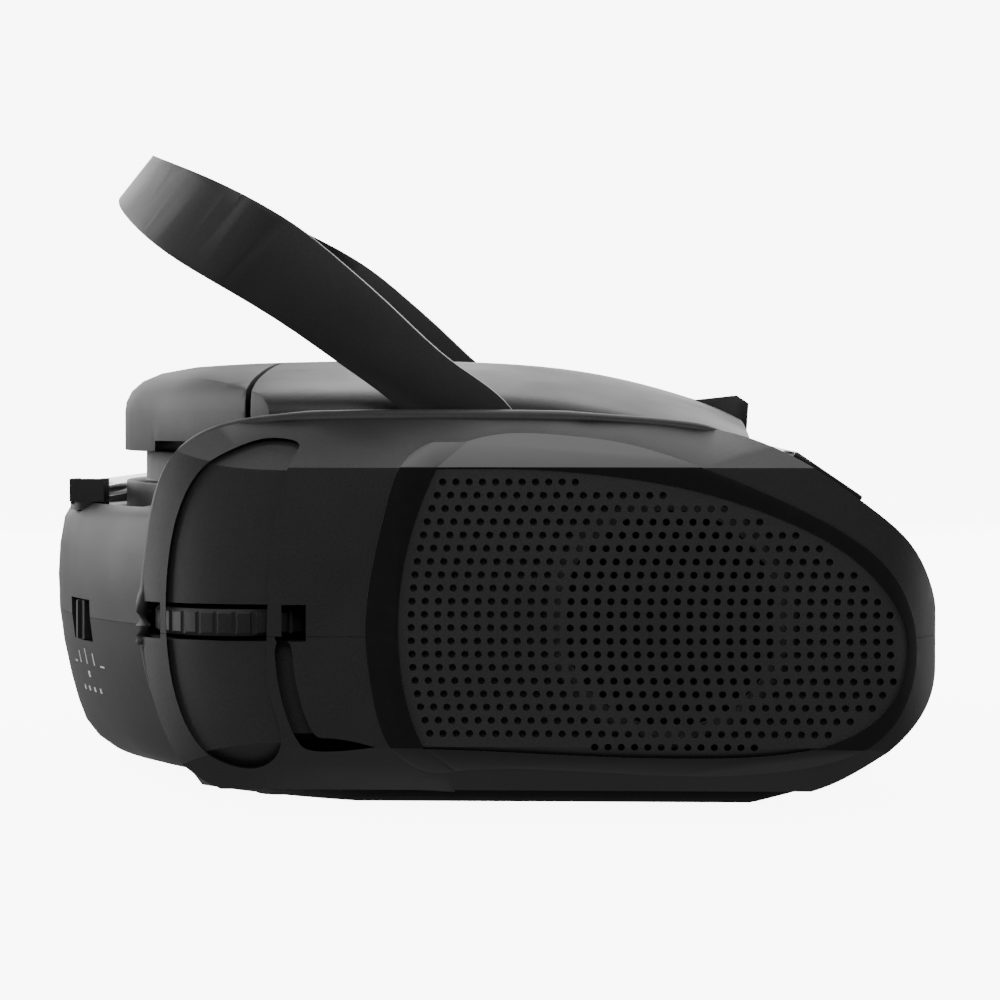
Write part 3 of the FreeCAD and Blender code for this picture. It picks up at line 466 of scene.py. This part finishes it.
def bowl():
    """A pale floor that sweeps up all round into a backdrop."""
    work = bmesh.new()
    rings, count = [], 96
    profile = [(0.6, 0.0), (1.2, 0.0), (2.2, 0.0), (2.9, 0.08), (3.3, 0.35), (3.5, 0.9), (3.6, 4.0)]
    turns = [2 * math.pi * k / count for k in range(count)]
    for r, z in profile:
        rings.append([work.verts.new((r * math.cos(t), r * math.sin(t), z)) for t in turns])
    centre = work.verts.new((0, 0, 0))
    for k in range(count):
        work.faces.new((centre, rings[0][k], rings[0][(k + 1) % count]))
    for a, b in zip(rings, rings[1:]):
        for k in range(count):
            work.faces.new((a[k], b[k], b[(k + 1) % count], a[(k + 1) % count]))
    mesh = bpy.data.meshes.new("floor")
    work.to_mesh(mesh)
    work.free()
    obj = bpy.data.objects.new("floor", mesh)
    bpy.context.scene.collection.objects.link(obj)
    obj.data.shade_smooth()
    mat = bpy.data.materials.new("pale_floor")
    mat.use_nodes = True
    shader = mat.node_tree.nodes["Principled BSDF"]
    shader.inputs["Base Color"].default_value = (0.85, 0.85, 0.85, 1)
    shader.inputs["Roughness"].default_value = 0.8
    shader.inputs["Emission Color"].default_value = (1, 1, 1, 1)
    shader.inputs["Emission Strength"].default_value = 8.0
    mesh.materials.append(mat)
    obj.visible_glossy = False
    obj.visible_diffuse = False


bowl()


def lamp(name, place, aim, size, power, colour=(1, 1, 1)):
    data = bpy.data.lights.new(name, "AREA")
    data.shape = "RECTANGLE"
    data.size, data.size_y = size
    data.energy = power
    data.color = colour
    obj = bpy.data.objects.new(name, data)
    bpy.context.scene.collection.objects.link(obj)
    obj.location = place
    obj.rotation_mode = "QUATERNION"
    obj.rotation_quaternion = (Vector(aim) - Vector(place)).to_track_quat("-Z", "Y")
    return obj


lamp("top", (0.55, 0.0, 1.3), (0, 0, 0.1), (1.4, 1.6), 13)
lamp("rear_side", (0.1, 1.2, 0.5), (0, 0, 0.1), (1.6, 1.0), 20)
lamp("front_side", (0.2, -1.3, 0.6), (0, 0, 0.1), (1.4, 1.0), 12)
lamp("behind", (1.5, 0.1, 0.7), (0, 0, 0.1), (2.0, 1.2), 18)
lamp("near_fill", (-1.6, 0.2, 1.1), (0, 0, 0.1), (1.4, 0.6), 10)


def make_world():
    world = bpy.data.worlds.new("studio")
    bpy.context.scene.world = world
    world.use_nodes = True
    tree = world.node_tree
    back = tree.nodes["Background"]
    place = tree.nodes.new("ShaderNodeTexCoord")
    split = tree.nodes.new("ShaderNodeSeparateXYZ")
    tree.links.new(place.outputs["Generated"], split.inputs["Vector"])
    fade = tree.nodes.new("ShaderNodeMapRange")
    fade.inputs["From Min"].default_value = -1.0
    fade.inputs["From Max"].default_value = 0.6
    fade.inputs["To Min"].default_value = 0.12
    fade.inputs["To Max"].default_value = 0.45
    tree.links.new(split.outputs["X"], fade.inputs["Value"])
    tree.links.new(fade.outputs["Result"], back.inputs["Strength"])
    back.inputs["Color"].default_value = (1, 1, 1, 1)


make_world()

eye = bpy.data.cameras.new("camera")
eye.sensor_width = 36
eye.lens = 104.4
camera = bpy.data.objects.new("camera", eye)
bpy.context.scene.collection.objects.link(camera)
camera.location = (-0.895, -0.041, 0.106)
yaw, pitch = math.radians(2.17), math.radians(-1.78)
look = Vector((math.cos(pitch) * math.cos(yaw), math.cos(pitch) * math.sin(yaw), math.sin(pitch)))
camera.rotation_mode = "QUATERNION"
camera.rotation_quaternion = look.to_track_quat("-Z", "Y")
eye.clip_start, eye.clip_end = 0.05, 20
bpy.context.scene.camera = camera
